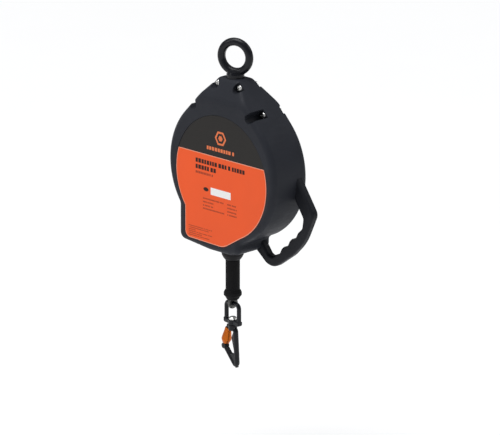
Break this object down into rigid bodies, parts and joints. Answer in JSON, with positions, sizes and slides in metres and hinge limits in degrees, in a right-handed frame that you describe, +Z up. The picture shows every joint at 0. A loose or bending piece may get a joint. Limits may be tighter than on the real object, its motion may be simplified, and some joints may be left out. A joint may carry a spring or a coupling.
{
  "type": "self retracting lifeline",
  "caption": "Fall-arrest lifeline block: swivel anchor eye, round housing with spring-wound cable drum and pawl brake, carry handle, and a swivel snap hook that pays out on steel cable.",
  "frame": {"origin": "centre of the anchor eye's hole, where the part hangs", "axes": "+Z up along the eye's swivel axis, away from the hook; the labelled front face looks along -Y; +X is on the handle's side"},
  "size_m": [0.258, 0.073, 0.5152],
  "materials": {
    "forged_steel": "black powder coat over forged steel",
    "shell_plastic": "charcoal, fine spark texture",
    "handle_plastic": "charcoal, satin",
    "zinc_steel": "bright zinc plate",
    "label_print": "printed film, orange under charcoal",
    "galvanised_cable": "bare stranded wire",
    "cast_alloy": "as cast",
    "steel_plate": "bright zinc plate",
    "spring_steel": "blued strip",
    "bronze": "sintered",
    "acetal": "natural acetal",
    "friction_lining": "pressed lining",
    "nozzle_plastic": "black, moulded",
    "sleeve_rubber": "matte black",
    "ferrule_alloy": "pressed",
    "anodised_orange": "orange anodised, satin"
  },
  "bodies": {
    "eye": {"swivel_eye": "forged_steel", "eye_washer": "zinc_steel", "eye_nut": "zinc_steel", "eye_lock_pin": "zinc_steel"},
    "housing": {"eye_bush": "bronze", "front_shell": "shell_plastic", "rear_shell": "shell_plastic", "carry_handle": "handle_plastic", "shell_screws": "zinc_steel", "shell_nuts": "zinc_steel", "front_label": "label_print", "top_bracket": "steel_plate", "front_frame_plate": "steel_plate", "rear_frame_plate": "steel_plate", "frame_spacers": "zinc_steel", "frame_bolts": "zinc_steel", "frame_nuts": "zinc_steel", "main_shaft": "steel_plate", "shaft_clips": "spring_steel", "spring_case": "steel_plate", "case_screws": "zinc_steel", "power_spring": "spring_steel", "friction_discs": "friction_lining", "pressure_ring": "steel_plate", "brake_screws": "zinc_steel", "cable_lead": "galvanised_cable", "cable_guide": "acetal", "cable_nozzle": "nozzle_plastic", "nozzle_ring": "nozzle_plastic"},
    "drum": {"spring_arbor": "cast_alloy", "drum": "cast_alloy", "drum_flange": "cast_alloy", "flange_screws": "zinc_steel", "drum_bushes": "bronze", "cable_winding": "galvanised_cable", "pawl_plate": "steel_plate", "pawl_pins": "steel_plate", "pawl_springs": "spring_steel"},
    "pawl_a": {"pawl_a": "steel_plate"},
    "pawl_b": {"pawl_b": "steel_plate"},
    "brake_ring": {"ratchet_ring": "steel_plate"},
    "line": {"cable_span": "galvanised_cable", "cable_eye": "galvanised_cable", "ferrules": "ferrule_alloy", "thimble": "galvanised_cable", "bumper_sleeve": "sleeve_rubber", "sleeve_collar": "sleeve_rubber"},
    "link": {"swivel_link": "forged_steel"},
    "hook": {"swivel_rivet": "zinc_steel", "hook_body": "forged_steel", "gate_pin": "forged_steel"},
    "gate": {"gate": "forged_steel", "gate_spring": "spring_steel", "sleeve_spring": "spring_steel"},
    "lock": {"lock_sleeve": "anodised_orange"}
  },
  "joints": [
    {"name": "eye_swivel", "type": "hinge", "parent": "eye", "child": "housing", "pos_m": [0, 0, 0], "axis": [0, 0, 1], "continuous": true},
    {"name": "drum_spin", "type": "hinge", "parent": "housing", "child": "drum", "pos_m": [0.01, 0, -0.175], "axis": [0, -1, 0], "range_deg": [0, 10080], "stiffness_Nm_per_rad": 0.0054, "springref_deg": -8479.78},
    {"name": "line_payout", "type": "slide", "parent": "housing", "child": "line", "axis": [0, 0, -1], "range_m": [0, 10.01], "deforming": ["cable_span"]},
    {"name": "pawl_a_swing", "type": "hinge", "parent": "drum", "child": "pawl_a", "pos_m": [0.01, 0.022, -0.137], "axis": [0, 1, 0], "range_deg": [0, 12], "stiffness_Nm_per_rad": 0.05, "springref_deg": -17.19},
    {"name": "pawl_b_swing", "type": "hinge", "parent": "drum", "child": "pawl_b", "pos_m": [0.01, 0.022, -0.213], "axis": [0, 1, 0], "range_deg": [0, 12], "stiffness_Nm_per_rad": 0.05, "springref_deg": -17.19},
    {"name": "brake_slip", "type": "hinge", "parent": "housing", "child": "brake_ring", "pos_m": [0.01, 0.022, -0.175], "axis": [0, -1, 0], "range_deg": [0, 1080]},
    {"name": "link_swing", "type": "hinge", "parent": "line", "child": "link", "pos_m": [-0.006, 0, -0.3862], "axis": [0.9903, -0.1392, 0], "range_deg": [-70, 70]},
    {"name": "hook_swivel", "type": "hinge", "parent": "link", "child": "hook", "pos_m": [-0.006, 0, -0.42], "axis": [0, 0, 1], "continuous": true},
    {"name": "gate_open", "type": "hinge", "parent": "hook", "child": "gate", "pos_m": [-0.02462, 0.00262, -0.4578], "axis": [0.1392, 0.9903, 0], "range_deg": [0, 20], "stiffness_Nm_per_rad": 0.12, "springref_deg": -34.38},
    {"name": "sleeve_twist", "type": "hinge", "parent": "gate", "child": "lock", "pos_m": [-0.02462, 0.00262, -0.4578], "axis": [0.2423, -0.0341, 0.9696], "range_deg": [0, 75], "stiffness_Nm_per_rad": 0.02, "springref_deg": -45.84}
  ],
  "couplings": [
    {"joint": "line_payout", "follows": "drum_spin", "m_per_rad": 0.056841}
  ]
}
